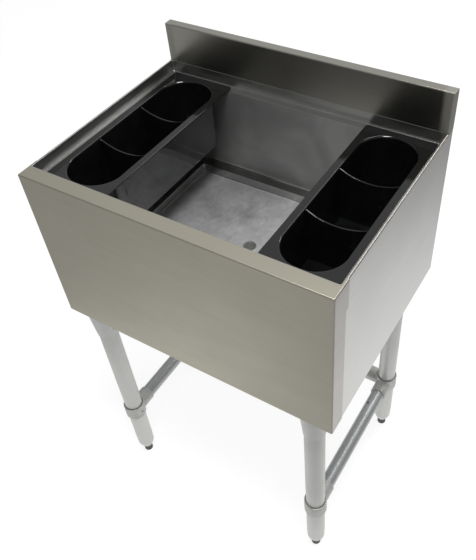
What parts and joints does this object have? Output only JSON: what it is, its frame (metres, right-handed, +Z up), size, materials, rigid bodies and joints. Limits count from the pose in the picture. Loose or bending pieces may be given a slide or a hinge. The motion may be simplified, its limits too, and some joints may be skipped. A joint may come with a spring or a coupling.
{
  "type": "ice bin",
  "caption": "Insulated stainless bar ice bin with backsplash, floor drain, lift-out black bottle holders at both ends, braced tubular legs and adjustable bullet feet.",
  "frame": {"origin": "on the floor, under the middle of the cabinet", "axes": "+X to the right seen from the front, +Y to the rear, +Z up"},
  "size_m": [0.6096, 0.4572, 0.9944],
  "materials": {
    "stainless": "satin",
    "galvanised_sheet": "satin",
    "galvanised_tube": "satin",
    "leg_metal": "satin",
    "cast_collar": "satin",
    "insert_plastic": "matte",
    "black_plastic": "gloss",
    "foam": "matte",
    "fastener": "satin"
  },
  "bodies": {
    "cabinet": {"front_apron": "stainless", "left_side_panel": "stainless", "right_side_panel": "stainless", "backsplash": "stainless", "bin_liner": "stainless", "drain_nipple": "stainless", "rear_panel": "galvanised_sheet", "bottom_tray": "galvanised_sheet", "left_leg_channel": "galvanised_sheet", "right_leg_channel": "galvanised_sheet", "front_insulation": "foam", "rear_insulation": "foam", "left_insulation": "foam", "right_insulation": "foam", "bottom_insulation": "foam", "front_left_gusset": "leg_metal", "front_left_leg": "leg_metal", "front_left_collar": "cast_collar", "front_left_foot_insert": "insert_plastic", "front_right_gusset": "leg_metal", "front_right_leg": "leg_metal", "front_right_collar": "cast_collar", "front_right_foot_insert": "insert_plastic", "rear_left_gusset": "leg_metal", "rear_left_leg": "leg_metal", "rear_left_collar": "cast_collar", "rear_left_foot_insert": "insert_plastic", "rear_right_gusset": "leg_metal", "rear_right_leg": "leg_metal", "rear_right_collar": "cast_collar", "rear_right_foot_insert": "insert_plastic", "left_rail": "galvanised_tube", "right_rail": "galvanised_tube", "rear_rail": "galvanised_tube", "gusset_bolts": "fastener", "gusset_nuts": "fastener", "gusset_set_screws": "fastener", "collar_set_screws": "fastener"},
    "left_holder": {"left_bottle_holder": "black_plastic"},
    "right_holder": {"right_bottle_holder": "black_plastic"},
    "front_left_adjuster": {"front_left_foot": "leg_metal"},
    "front_right_adjuster": {"front_right_foot": "leg_metal"},
    "rear_left_adjuster": {"rear_left_foot": "leg_metal"},
    "rear_right_adjuster": {"rear_right_foot": "leg_metal"}
  },
  "joints": [
    {"name": "left_holder_lift", "type": "slide", "parent": "cabinet", "child": "left_holder", "axis": [0, 0, 1], "range_m": [0, 0.2]},
    {"name": "right_holder_lift", "type": "slide", "parent": "cabinet", "child": "right_holder", "axis": [0, 0, 1], "range_m": [0, 0.2]},
    {"name": "front_left_foot_screw", "type": "slide", "parent": "cabinet", "child": "front_left_adjuster", "axis": [0, 0, -1], "range_m": [0, 0.025]},
    {"name": "front_right_foot_screw", "type": "slide", "parent": "cabinet", "child": "front_right_adjuster", "axis": [0, 0, -1], "range_m": [0, 0.025]},
    {"name": "rear_left_foot_screw", "type": "slide", "parent": "cabinet", "child": "rear_left_adjuster", "axis": [0, 0, -1], "range_m": [0, 0.025]},
    {"name": "rear_right_foot_screw", "type": "slide", "parent": "cabinet", "child": "rear_right_adjuster", "axis": [0, 0, -1], "range_m": [0, 0.025]}
  ]
}
